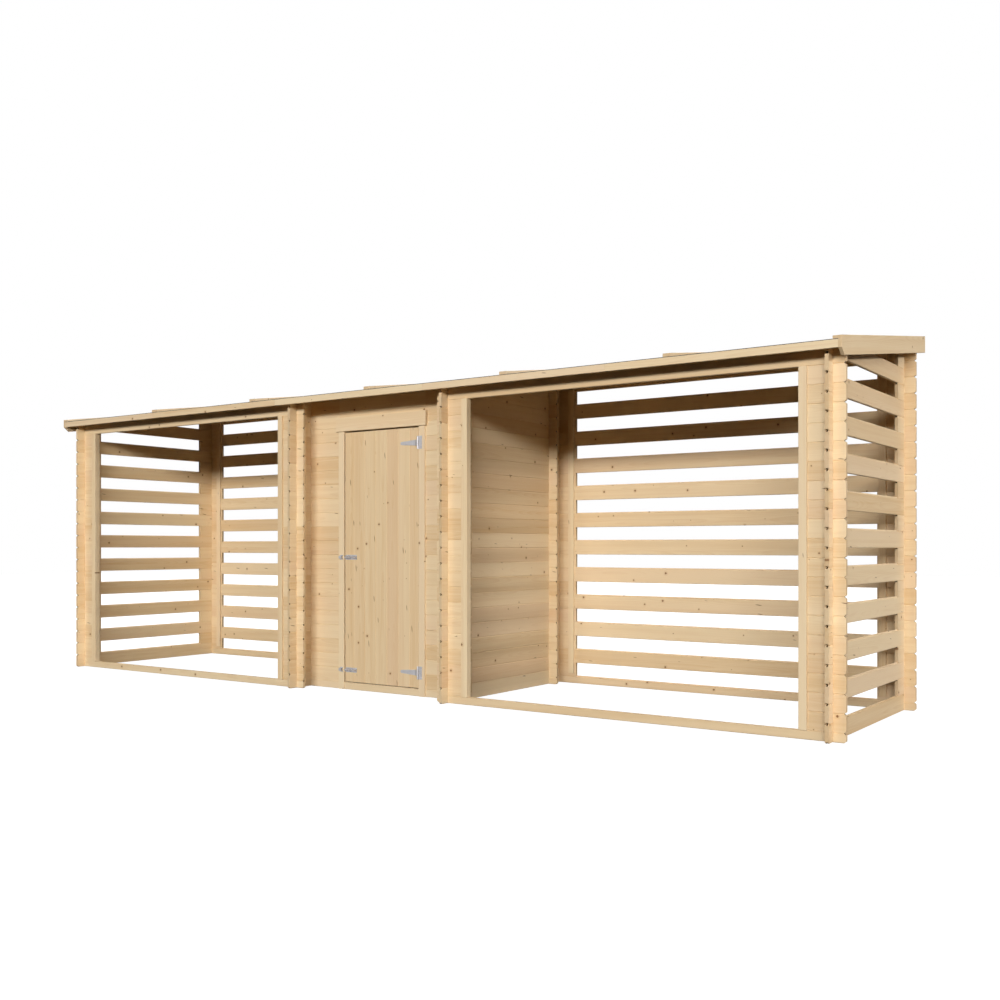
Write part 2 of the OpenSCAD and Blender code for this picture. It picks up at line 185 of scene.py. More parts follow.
# takes a millimetre off the depth, so that a square batten shows its broad grain in front
SQUARE_FACES_FRONT = np.array((0, 0.001, 0))


def season(piece):
    """Gives one piece of timber its own grain, tone and end marks. Its longest side is along
    the grain and its shortest is the thickness."""
    mesh = piece.data
    spots = np.empty(len(mesh.vertices) * 3)
    mesh.vertices.foreach_get("co", spots)
    spots = spots.reshape(-1, 3)
    spans = spots.max(0) - spots.min(0)
    along, across, through = (int(i) for i in np.argsort(SQUARE_FACES_FRONT - spans))
    grain = spots[:, [along, through, across]] - spots.mean(0)[[along, through, across]]
    away = chance.choice([-1, 1]) * chance.uniform(PITH_NEAR, PITH_FAR)
    grain += (chance.uniform(0, FAR_ALONG), away, chance.uniform(-PITH_SIDE, PITH_SIDE))
    mesh.attributes.new("grain", "FLOAT_VECTOR", "POINT").data.foreach_set("vector", grain.ravel())
    tone = np.full(len(mesh.vertices), chance.random())
    mesh.attributes.new("tone", "FLOAT", "POINT").data.foreach_set("value", tone)
    ends = np.array([abs(face.normal[along]) for face in mesh.polygons])
    mesh.attributes.new("sawn_end", "FLOAT", "FACE").data.foreach_set("value", ends)
    return piece


print("grain runs up to", FAR_ALONG, "m into the imagined tree")

# %% [markdown]
# ## Logs
#
# A wall log is a plank 95 mm tall and under 20 mm thick, planed, with its long edges
# chamfered so that a fine V shows at every joint. Its ends carry a deeper V, with a small
# hole in it above and below the joint, where the groove and the cut-off tongue come out.
# Where another wall crosses, a quarter of its height is notched out above and below, and the
# crossing log fills the gap. A cube becomes a log in three steps: bevel the ends, bevel the
# long edges, and cut notches and holes with a Boolean. An attribute marks the holes' sides,
# which the material paints dark brown: painted shade for the shadow deep inside the holes.
# Logs of one kind are modelled once and copied.

# %% Model one log
COURSE = 0.095
LOG_T = 0.0195
CHAMFER = 0.003
TIP_V = 0.009
TIP_DEEP = 0.003
TONGUE_W, TONGUE_H = 0.007, 0.0065
NOTCH = COURSE / 4
SPARE = 0.01
TINY = 0.0005
HOLE_REACH = 0.05
log_kinds = {}


def model_log(length, height, crossings, tips, low_notch):
    """A log along X from 0, standing on z = 0. Tips says which ends carry a V."""
    log = block("log", (0, -LOG_T / 2, 0), (length, LOG_T / 2, height))

    def at_tip(middle, way):
        end = tips[0] and middle.x < SPARE or tips[1] and middle.x > length - SPARE
        return bool(end) and runs(way, Y)

    if any(tips):
        bevel_edges(log, at_tip, TIP_V)
        for point in log.data.vertices:
            x, z = point.co.x, point.co.z
            if min(z, height - z) < TINY < min(x, length - x):
                point.co.x += TIP_DEEP if x < length / 2 else -TIP_DEEP
    bevel_edges(log, lambda middle, way: runs(way, X), CHAMFER)
    cutters = []
    for x in crossings:
        for low, high in ((-SPARE, NOTCH), (height - NOTCH, height + SPARE)):
            if low > 0 or low_notch:
                cutters.append(block(
                    "cutter", (x - LOG_T / 2, -LOG_T, low), (x + LOG_T / 2, LOG_T, high)))
    for x in (0, length):
        for z in (0, height):
            cutters.append(block(
                "cutter", (x - HOLE_REACH, -TONGUE_W / 2, z - TONGUE_H),
                (x + HOLE_REACH, TONGUE_W / 2, z + TONGUE_H)))
    carve(log, cutters)
    # the holes' sides, which the material paints dark brown as painted shade
    hole_shade = [
        abs(face.center.y) < TONGUE_W / 2 + TINY and crosses(face.normal, X)
        and TINY < face.center.z < height - TINY
        and min(face.center.x, length - face.center.x) < HOLE_REACH + TINY
        for face in log.data.polygons]
    log.data.attributes.new("hole_shade", "FLOAT", "FACE").data.foreach_set("value", hole_shade)
    return log


def log_like(length, height, crossings, tips, low_notch):
    """The modelled log of this kind, made the first time that it is asked for."""
    places = tuple(round(x, 4) for x in crossings)
    kind = (round(length, 4), round(height, 4), places, tips, low_notch)
    if kind not in log_kinds:
        log_kinds[kind] = model_log(length, height, crossings, tips, low_notch)
    return log_kinds[kind]


print("logs are", COURSE, "m tall and", LOG_T, "m thick")

# %% [markdown]
# ## Laying the walls
#
# Walls that run front to back start with a whole log on the ground, and walls that run along
# the store start with a half log, so the joints of crossing walls are half a course apart. A
# function lays one course: it knows the wall's line, finds which walls cross it, and copies
# a log of the right kind. Logs that meet the roof are cut along its slope with a bisect.

# %% Lay one course
deck_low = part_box("roof_deck")[0]
PITCH = math.radians(8.6)
RISE = math.tan(PITCH)
SEAT = 0.0001


def middle_of(name, axis):
    """The middle of a node's box along an axis."""
    low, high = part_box(name)
    return (low[axis] + high[axis]) / 2


cross_x = [
    middle_of(name, X)
    for name in ("left_end_wall", "left_partition", "right_partition", "right_end_wall")]
wall_y = middle_of("left_bay_back_wall", Y)
shed_wall_y = middle_of("shed_back_wall", Y)
front_y = middle_of("left_bay_sill", Y)


def roof_over(y):
    """Height of the roof boards' underside at y."""
    return deck_low.z + (y - deck_low.y) * RISE


def cut_to_roof(piece):
    """Cuts off what stands above the roof boards' underside, and closes the cut."""
    if max(v.co.z - roof_over(v.co.y) for v in piece.data.vertices) < -SEAT:
        return piece
    select_only(piece)
    bpy.ops.object.mode_set(mode="EDIT")
    bpy.ops.mesh.select_all(action="SELECT")
    bpy.ops.mesh.bisect(
        plane_co=(0, 0, roof_over(0) - SEAT), plane_no=Vector((0, -RISE, 1)).normalized(),
        use_fill=True, clear_outer=True)
    bpy.ops.object.mode_set(mode="OBJECT")
    return piece


def lay_log(line, start, end, low, high, runs_x, tips=(True, True)):
    """One log between start and end, on a wall line, from height low to high."""
    if runs_x:
        lines = cross_x
    elif abs(line) < (cross_x[2] + cross_x[3]) / 2:
        lines = [front_y, -shed_wall_y, shed_wall_y, wall_y]
    else:
        lines = [front_y, wall_y]
    crossings = [crossed - start for crossed in lines if start < crossed < end]
    low_notch = not (runs_x and low < COURSE / 4)
    master = log_like(end - start, high - low, crossings, tips, low_notch)
    if runs_x:
        place = Matrix.Translation((start, line, low))
    else:
        place = Matrix.Translation((line, start, low)) @ Matrix.Rotation(math.radians(90), 4, "Z")
    log = season(copy_of(master, Matrix()))
    log.data.transform(place)
    return cut_to_roof(log)


print("walls cross at x", [round(x, 3) for x in cross_x],
      "and y", round(front_y, 3), round(wall_y, 3))

# %% [markdown]
# ## Closed walls and slatted walls
#
# The shed's walls are closed. The outer walls of the bays leave out the middle of every
# second log, so that air reaches the wood. Those courses keep two short ends, which lock the
# corners, and the log below shows the tongue on its top. The tongue is a slim bar with
# softened edges, sunk a little into its log.

# %% Lay whole walls
TONGUE_SINK, TONGUE_ROUND = 0.001, 0.0015
COURSES = 24
walls = {}


def lay_tongue(line, start, end, bottom, runs_x):
    """The tongue that shows on a log under a gap."""
    half = TONGUE_W / 2
    foot, top = bottom - TONGUE_SINK, bottom + TONGUE_H
    low, high = (start, line - half, foot), (end, line + half, top)
    if not runs_x:
        low, high = (line - half, start, foot), (line + half, end, top)
    tongue = block("tongue", low, high)
    bevel_edges(
        tongue, lambda middle, way: crosses(way, Z) and middle.z > bottom, TONGUE_ROUND)
    return cut_to_roof(season(tongue))


def lay_wall(name, runs_x, tips=(True, True), gap=None):
    """Lays a wall of logs in a node's box. Gap gives the two ends of a slatted wall's gaps."""
    low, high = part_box(name)
    axis = X if runs_x else Y
    line, start, end = (low[1 - axis] + high[1 - axis]) / 2, low[axis], high[axis]
    first = 0.5 if runs_x else 1
    joints = [0] + [(k + first) * COURSE for k in range(COURSES)]
    logs = []
    for count, (bottom, top) in enumerate(zip(joints, joints[1:])):
        if top < low.z + TINY or bottom > high.z - TINY:
            continue
        bottom = max(bottom, low.z)
        if gap and count % 2:
            logs.append(lay_log(line, start, gap[0], bottom, top, runs_x, (True, False)))
            logs.append(lay_log(line, gap[1], end, bottom, top, runs_x, (False, True)))
            logs.append(lay_tongue(line, gap[0], gap[1], bottom, runs_x))
        else:
            logs.append(lay_log(line, start, end, bottom, top, runs_x, tips))
    walls[name] = join(name + "_logs", logs)
    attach(walls[name], "store")
    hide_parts(name)
    print(name, "has", len(logs), "pieces")


# %% Shed walls
for side, sign in (("left", -1), ("right", 1)):
    lay_wall(side + "_partition", False)
    lay_wall("shed_front_" + side, True, (sign < 0, sign > 0))
lay_wall("shed_front_over_door", True, (False, False))
lay_wall("shed_back_wall", True)

# %% Bay walls
END_RETURN = 0.130
BACK_RETURN = 0.137
gap_y = wall_y - LOG_T / 2 - END_RETURN
for side, sign in (("left", -1), ("right", 1)):
    near = cross_x[2] + LOG_T / 2 + BACK_RETURN
    far = cross_x[3] - LOG_T / 2 - BACK_RETURN
    back_gap = tuple(sorted((sign * near, sign * far)))
    lay_wall(side + "_end_wall", False, gap=(-gap_y, gap_y))
    lay_wall(side + "_bay_back_wall", True, gap=back_gap)
    lay_wall(side + "_bay_sill", True)
    lay_wall(side + "_bay_header", True)
    lay_wall(side + "_bay_inner_stack", True, (sign > 0, sign < 0))
    lay_wall(side + "_bay_outer_stack", True, (sign < 0, sign > 0))
for master in log_kinds.values():
    bpy.data.objects.remove(master)
print("kinds of log:", len(log_kinds))

# %% [markdown]
# ## Posts and strips
#
# A bay's opening ends in a grooved post each side, which holds the log ends in line. On the
# back wall, a strip is nailed up each side of the gaps and ties the slats together. Both are
# planed, so their long edges are a little rounded.

# %% Boards
BOARD_ROUND, TRIM_ROUND = 0.0015, 0.002


def board(name, low, high, edge=BOARD_ROUND, steps=2):
    """A planed board with its long edges rounded."""
    piece = block(name, low, high)
    spans = [abs(h - l) for l, h in zip(low, high)]
    along = spans.index(max(spans))
    bevel_edges(piece, lambda middle, way: runs(way, along), edge, steps)
    return piece


def keep(piece, name, body):
    """Puts a finished piece in the place of its node."""
    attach(piece, body)
    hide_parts(name)
    print(piece.name, "has", len(piece.data.polygons), "faces")
    return piece


print("boards have edges rounded by", BOARD_ROUND, "m")

# %% Opening posts
POST_W, POST_ROUND = 0.043, 0.003
GROOVE = 0.010
wood_pieces = []
for side in ("left", "right"):
    name = side + "_bay_posts"
    low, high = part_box(name)
    posts = []
    for x, groove_at in ((low.x, 0), (high.x - POST_W, POST_W)):
        post = board("post", (x, low.y, low.z), (x + POST_W, high.y, high.z), POST_ROUND)
        groove = block(
            "groove", (x + groove_at - GROOVE, front_y - LOG_T / 2, low.z - SPARE),
            (x + groove_at + GROOVE, front_y + LOG_T / 2, high.z + SPARE))
        carve(post, [groove])
        posts.append(season(post))
    wood_pieces.append(keep(join(name + "_timber", posts), name, "store"))

# %% Back strips
STRIP_W = 0.043
for side in ("left", "right"):
    name = side + "_bay_back_strips"
    low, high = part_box(name)
    strips = []
    for x in (low.x, high.x - STRIP_W):
        strip = board("strip", (x, low.y, low.z), (x + STRIP_W, high.y, high.z + SPARE))
        strips.append(cut_to_roof(season(strip)))
    wood_pieces.append(keep(join(name + "_timber", strips), name, "store"))

# %% [markdown]
# ## Door frame
#
# The opening is lined by two jambs that clasp the ends of the logs, a casing board across the
# top, and the bottom log as a threshold.

# %% Jambs, casing and threshold
for name in ("left_door_jamb", "right_door_jamb", "door_head_casing"):
    trim = season(board(name + "_timber", *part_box(name), TRIM_ROUND))
    wood_pieces.append(keep(trim, name, "store"))
threshold = season(board("shed_threshold_log", *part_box("shed_threshold"), CHAMFER, 1))
keep(threshold, "shed_threshold", "store")

# %% [markdown]
# ## Door
#
# The leaf is tongued boards standing side by side, with a fine V between them, held by three
# ledges across the inside. A board is a thin block with its long edges bevelled, so two
# boards that touch leave the V between them.

# %% Door leaf and ledges
DOOR_BOARD, FIRST_BOARD, BOARD_V = 0.096, 0.079, 0.0025
low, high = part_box("door_leaf")
edges = [low.x] + [low.x + FIRST_BOARD + k * DOOR_BOARD for k in range(6)] + [high.x]
leaf_boards = [
    season(board("door_board", (a, low.y, low.z), (b, high.y, high.z), BOARD_V, 1))
    for a, b in zip(edges, edges[1:])]
leaf = keep(join("door_leaf_boards", leaf_boards), "door_leaf", "door")

LEDGE_H, LEDGE_ROUND = 0.095, 0.004
low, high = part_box("door_ledges")
ledge_at = [low.z, (low.z + high.z - LEDGE_H) / 2, high.z - LEDGE_H]
ledges = [
    season(board("ledge", (low.x, low.y, z), (high.x, high.y, z + LEDGE_H), LEDGE_ROUND))
    for z in ledge_at]
ledges = keep(join("door_ledge_boards", ledges), "door_ledges", "door")

# %% [markdown]
# ## Roof timber
#
# Roof boards run from front to back. Slim fascia boards close their ends, in lengths with
# butt joints, and a bargeboard covers each side. All of them follow the slope: a board is
# made level and then sheared by moving each point up by the roof's rise, which keeps its
# ends upright.

# %% Roof boards
DECK_BOARDS, DECK_V = 65, 0.002
DECK_T, FELT_T = 0.019, 0.003


def on_slope(piece):
    """Lifts each point of a level piece by the roof's rise at its place."""
    for point in piece.data.vertices:
        point.co.z += point.co.y * RISE
    return piece


def upright(thick):
    """How tall a board of this thickness stands when it lies on the slope."""
    return thick / math.cos(PITCH)


low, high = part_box("roof_deck")
deck_z = roof_over(0)
felt_low = deck_z + upright(DECK_T)
felt_high = felt_low + upright(FELT_T)
step = (high.x - low.x) / DECK_BOARDS
deck_boards = []
for k in range(DECK_BOARDS):
    x = low.x + k * step
    plank = board("deck_board", (x, low.y, deck_z), (x + step, high.y, felt_low), DECK_V, 1)
    deck_boards.append(on_slope(season(plank)))
deck = keep(join("roof_boards", deck_boards), "roof_deck", "store")

# %% Fascias
FASCIA_JOINTS = (-1.999, -0.722, 0.552, 1.821)
BUTT = 0.0004
for name in ("front_fascia", "back_fascia"):
    low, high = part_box(name)
    top_low = felt_low + low.y * RISE
    ends = [low.x, *FASCIA_JOINTS, high.x]
    boards = []
    for a, b in zip(ends, ends[1:]):
        piece = block("fascia_board", (a + BUTT, low.y, low.z), (b - BUTT, high.y, top_low))
        for point in piece.data.vertices:
            if point.co.z > top_low - TINY:
                point.co.z += (point.co.y - low.y) * RISE
        bevel_edges(piece, lambda middle, way: runs(way, X), BOARD_ROUND, 2)
        boards.append(season(piece))
    wood_pieces.append(keep(join(name + "_boards", boards), name, "store"))

# %% Bargeboards
BARGE_H, BARGE_CUT = 0.096, 0.041
EDGE_W, EDGE_THICK = 0.027, 0.015
barge_top = felt_high + upright(EDGE_THICK)
barge_low = barge_top - upright(BARGE_H)
low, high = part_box("left_bargeboard")
front_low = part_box("front_fascia")[0].z - low.y * RISE
for name in ("left_bargeboard", "right_bargeboard"):
    low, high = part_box(name)
    piece = block(name + "_timber", (low.x, low.y, barge_low), (high.x, high.y, barge_top))
    slant = Vector((0, BARGE_CUT, barge_low - front_low))
    select_only(piece)
    bpy.ops.object.mode_set(mode="EDIT")
    bpy.ops.mesh.select_all(action="SELECT")
    bpy.ops.mesh.bisect(
        plane_co=(0, low.y, front_low), plane_no=(0, slant.z, -slant.y),
        use_fill=True, clear_outer=True)
    bpy.ops.object.mode_set(mode="OBJECT")
    bevel_edges(piece, lambda middle, way: not runs(way, X), BOARD_ROUND, 2)
    wood_pieces.append(keep(on_slope(season(piece)), name, "store"))

# %% Battens on the roof
BATTEN_W, BATTEN_THICK = 0.045, 0.018
BATTENS = 5


def lay_battens(name, piece_name, places, wide, thick):
    """Battens from front to back on top of the felt, each with its low side at a place."""
    low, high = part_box("roof_felt")
    top = felt_high + upright(thick)
    battens = [
        season(board("batten", (x, low.y, felt_high), (x + wide, high.y, top), TRIM_ROUND))
        for x in places]
    battens = [on_slope(batten) for batten in battens]
    wood_pieces.append(keep(join(piece_name, battens), name, "store"))


low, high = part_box("roof_edge_battens")
edge_x = [low.x, high.x - EDGE_W]
lay_battens("roof_edge_battens", "roof_edge_batten_timber", edge_x, EDGE_W, EDGE_THICK)
low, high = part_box("felt_battens")
batten_step = (high.x - BATTEN_W - low.x) / (BATTENS - 1)
batten_x = [low.x + k * batten_step for k in range(BATTENS)]
lay_battens("felt_battens", "felt_batten_timber", batten_x, BATTEN_W, BATTEN_THICK)

# %% [markdown]
# ## Roofing felt
#
# The felt comes on a metre-wide roll. Strips run from front to back, and each batten hides a
# lap between two strips. Each strip is a thin block whose upper edge is softened at the eaves.

# %% Felt strips
FELT_ROUND = 0.001
low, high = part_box("roof_felt")
seams = [low.x] + [x + BATTEN_W / 2 for x in batten_x] + [high.x]
strips = []
for a, b in zip(seams, seams[1:]):
    strip = block("felt_strip", (a, low.y, felt_low), (b, high.y, felt_high))
    bevel_edges(
        strip, lambda middle, way: runs(way, X) and middle.z > felt_low + TINY, FELT_ROUND, 2)
    strips.append(on_slope(strip))
felt = keep(join("roofing_felt", strips), "roof_felt", "store")

# %% [markdown]
# ## Screws and nails
#
# Straps, plates and bolts are held by small pan-head screws, and the battens by flat nails.
# One head of each is turned from a short cylinder: its rim is bevelled, and a cross is cut
# into the screw. Copies then go wherever a fixing belongs.

# %% Screw and nail heads
def round_head(name, radius, height, rim, sides=20):
    """A head whose back is on the XY plane, facing up."""
    bpy.ops.object.select_all(action="DESELECT")
    bpy.ops.mesh.primitive_cylinder_add(
        vertices=sides, radius=radius, depth=height, location=(0, 0, height / 2))
    bpy.ops.object.transform_apply(location=True, rotation=True, scale=True)
    head = bpy.context.object
    head.name = head.data.name = name
    bevel_edges(
        head, lambda middle, way: middle.z > height - TINY and crosses(way, Z), rim, 3)
    return head


SCREW_R, SCREW_H = 0.0042, 0.0018
SLOT_HALF, SLOT_REACH = 0.0005, 0.0024
screw = round_head("screw", SCREW_R, SCREW_H, 0.0011)
carve(screw, [
    block("cross", (-long, -wide, SCREW_H / 2), (long, wide, SCREW_H * 2))
    for long, wide in ((SLOT_REACH, SLOT_HALF), (SLOT_HALF, SLOT_REACH))])
nail = round_head("nail", 0.0045, 0.0012, 0.0005, 14)
FRONT = Matrix.Rotation(math.radians(90), 4, "X")
BACK = Matrix.Rotation(math.radians(-90), 4, "X")
ROOF = Matrix.Rotation(PITCH, 4, "X")
steel_pieces = []


def fix(name, master, places, facing, body):
    """Copies of a head at these places, joined and riding on a body."""
    heads = []
    for place in places:
        turn = Matrix.Rotation(chance.uniform(0, math.pi), 4, "Z")
        heads.append(copy_of(master, Matrix.Translation(place) @ facing @ turn))
    piece = join(name, heads)
    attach(piece, body)
    steel_pieces.append(piece)
    print(name, len(heads), "heads")


print("screw has", len(screw.data.polygons), "faces and nail", len(nail.data.polygons))

# %% Fix the hinges
STRAP_H, STEEL_T = 0.036, 0.003
STRAP_SCREWS = ((0.012, 0), (0.05, 0), (0.1, 0.009), (0.1, -0.009))
PLATE_SCREWS = (-0.031, -0.011, 0.011, 0.031)
PLATE_INSET = 0.011
leaf_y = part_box("door_leaf")[0].y
jamb_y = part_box("right_door_jamb")[0].y
strap_low, strap_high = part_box("hinge_straps")
plate_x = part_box("hinge_plates")[1].x - PLATE_INSET
hinge_heights = (strap_low.z + STRAP_H / 2, strap_high.z - STRAP_H / 2)
fix("strap_screws", screw, [
    (strap_low.x + dx, leaf_y - STEEL_T, z + dz)
    for z in hinge_heights for dx, dz in STRAP_SCREWS], FRONT, "door")
fix("plate_screws", screw, [
    (plate_x, jamb_y - STEEL_T, z + dz)
    for z in hinge_heights for dz in PLATE_SCREWS], FRONT, "store")

# %% Fix the bolts and keepers
BOLT_T = 0.002
BOLT_LEFT, BOLT_RIGHT, BOLT_RISE = 0.015, 0.008, 0.0115
KEEPER_RISE = 0.0125
rod_heights = [middle_of("upper_bolt_rod", Z), middle_of("lower_bolt_rod", Z)]
guide_low, guide_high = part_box("bolt_guides")
fix("bolt_screws", screw, [
    (x, leaf_y - BOLT_T, z + dz)
    for z in rod_heights for x in (guide_low.x + BOLT_LEFT, guide_high.x - BOLT_RIGHT)
    for dz in (-BOLT_RISE, BOLT_RISE)], FRONT, "door")
keeper_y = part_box("bolt_keepers")[1].y - BOLT_T
fix("keeper_screws", nail, [
    (middle_of("bolt_keepers", X), keeper_y, z + dz)
    for z in rod_heights for dz in (-KEEPER_RISE, KEEPER_RISE)], FRONT, "store")

# %% Fix the ledges and the roof battens
LEDGE_SCREW = 0.02
NAIL_STEP, NAIL_FIRST, NAIL_ENDS = 0.25, 0.06, 0.1
ledge_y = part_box("door_ledges")[1].y
fix("ledge_screws", screw, [
    ((a + b) / 2 + side * LEDGE_SCREW, ledge_y, z + LEDGE_H / 2 - side * LEDGE_SCREW)
    for z in ledge_at for a, b in zip(edges, edges[1:]) for side in (-1, 1)], BACK, "door")
low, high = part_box("roof_felt")
nails = int((high.y - low.y - NAIL_ENDS) / NAIL_STEP) + 1
nail_y = [low.y + NAIL_FIRST + k * NAIL_STEP for k in range(nails)]
fix("roof_nails", nail, [
    (x + wide / 2, y, felt_high + upright(thick) + y * RISE)
    for places, wide, thick in (
        (batten_x, BATTEN_W, BATTEN_THICK), (edge_x, EDGE_W, EDGE_THICK))
    for x in places for y in nail_y], ROOF, "store")
for master in (screw, nail):
    bpy.data.objects.remove(master)

# %% [markdown]
# ## Node helpers
#
# Materials are built from small nodes, so a few helpers keep them readable: one adds a node
# and fills its inputs, and the others do sums, mix two colours, or make a noise or a ramp.

# %% Node helpers
def start_material(name):
    """A new material, its node tree and its Principled shader."""
    material = bpy.data.materials.new(name)
    material.use_nodes = True
    return material, material.node_tree, material.node_tree.nodes["Principled BSDF"]


def node(tree, kind, inputs=None, **settings):
    """Adds a node, sets its options, and fills its inputs from values or other outputs."""
    new = tree.nodes.new("ShaderNode" + kind)
    for key, value in settings.items():
        setattr(new, key, value)
    for key, value in (inputs or {}).items():
        if isinstance(value, bpy.types.NodeSocket):
            tree.links.new(value, new.inputs[key])
        else:
            new.inputs[key].default_value = value
    return new


def reckon(tree, operation, *values, clamp=False):
    """A Math node's result."""
    inputs = dict(enumerate(values))
    return node(tree, "Math", inputs, operation=operation, use_clamp=clamp).outputs[0]


def add(tree, first, second, clamp=False):
    """A sum, kept from 0 to 1 where it is clamped."""
    return reckon(tree, "ADD", first, second, clamp=clamp)


def take(tree, first, second):
    """The first less the second."""
    return reckon(tree, "SUBTRACT", first, second)


def times(tree, first, second):
    """A product."""
    return reckon(tree, "MULTIPLY", first, second)


def over(tree, first, second):
    """The first divided by the second."""
    return reckon(tree, "DIVIDE", first, second)


def swing(tree, value, by, middle=0.5):
    """How far a value lies from its middle, scaled."""
    return times(tree, take(tree, value, middle), by)


def mix(tree, factor, first, second):
    """Two colours mixed."""
    return node(tree, "Mix", {0: factor, 6: first, 7: second}, data_type="RGBA").outputs[2]


def scaled(tree, vector, by):
    """A vector with each part multiplied."""
    return node(tree, "VectorMath", {0: vector, 1: by}, operation="MULTIPLY").outputs[0]


def noise(tree, vector, scale, detail=2.0, rough=0.5):
    """Noise from 0 to 1."""
    inputs = {"Vector": vector, "Scale": scale, "Detail": detail, "Roughness": rough}
    return node(tree, "TexNoise", inputs).outputs[0]


def cells_in(tree, first, second, size):
    """Flat cells of a size: the distance to the nearest cell's middle, and two random
    numbers for that cell."""
    flat = node(tree, "CombineXYZ", {0: first, 1: second}).outputs[0]
    inputs = {"Vector": flat, "Scale": 1 / size}
    cells = node(tree, "TexVoronoi", inputs, voronoi_dimensions="2D").outputs
    luck = node(tree, "SeparateColor", {0: cells["Color"]}).outputs
    return times(tree, cells["Distance"], size), luck[0], luck[1]


def between(tree, value, low, high, to_low=0.0, to_high=1.0):
    """A smooth step from one value to another."""
    inputs = {0: value, 1: low, 2: high, 3: to_low, 4: to_high}
    return node(tree, "MapRange", inputs, interpolation_type="SMOOTHSTEP").outputs[0]


def object_place(tree):
    """A point's place on its object."""
    return node(tree, "TexCoord").outputs["Object"]


def finish_with(tree, shader, base, rough, height, strength, distance):
    """Plugs a colour, a roughness and a fine relief into a shader."""
    bump = node(tree, "Bump", {"Strength": strength, "Distance": distance, "Height": height})
    for result, name in ((base, "Base Color"), (rough, "Roughness"), (bump.outputs[0], "Normal")):
        tree.links.new(result, shader.inputs[name])


print("node helpers ready")

# %% [markdown]
# ## Spruce
#
# The timber is unpainted spruce: pale straw yellow, streaked by the tree's rings, with small
# brown knots and thin resin pockets. A flat picture of grain would stop at the edges of a
# board. Here the rings are worked out in three dimensions from the distance to the tree's
# middle, so they run through from face to edge to end. The rings bend round each knot, as
# they do in the tree. The holes in the logs' ends are painted plain dark brown, with no shine:
# painted shade for the shadow deep inside them.

# %% Spruce material
KNOT_CELL, KNOT_SIZES, KNOT_WOBBLE = 0.12, (0.0018, 0.0068), 0.004
KNOT_RING, KNOT_BEND = 0.0011, 0.006
POCKET_CELL, POCKET_WIDTHS, POCKET_LEAN, POCKET_STRETCH = 0.045, (0.0014, 0.0038), 0.12, 0.13
RING = 0.0042
KNOT_DARK, KNOT_LIGHT = (0.16, 0.075, 0.03, 1), (0.30, 0.15, 0.06, 1)
KNOT_HALO = (0.55, 0.33, 0.15, 1)
RESIN = (0.22, 0.11, 0.045, 1)
END_GRAIN = (0.42, 0.26, 0.12, 1)
# painted shade: the dark brown that stands for the shadow inside the holes in the log ends
HOLE_SHADE = (0.11, 0.065, 0.035, 1)


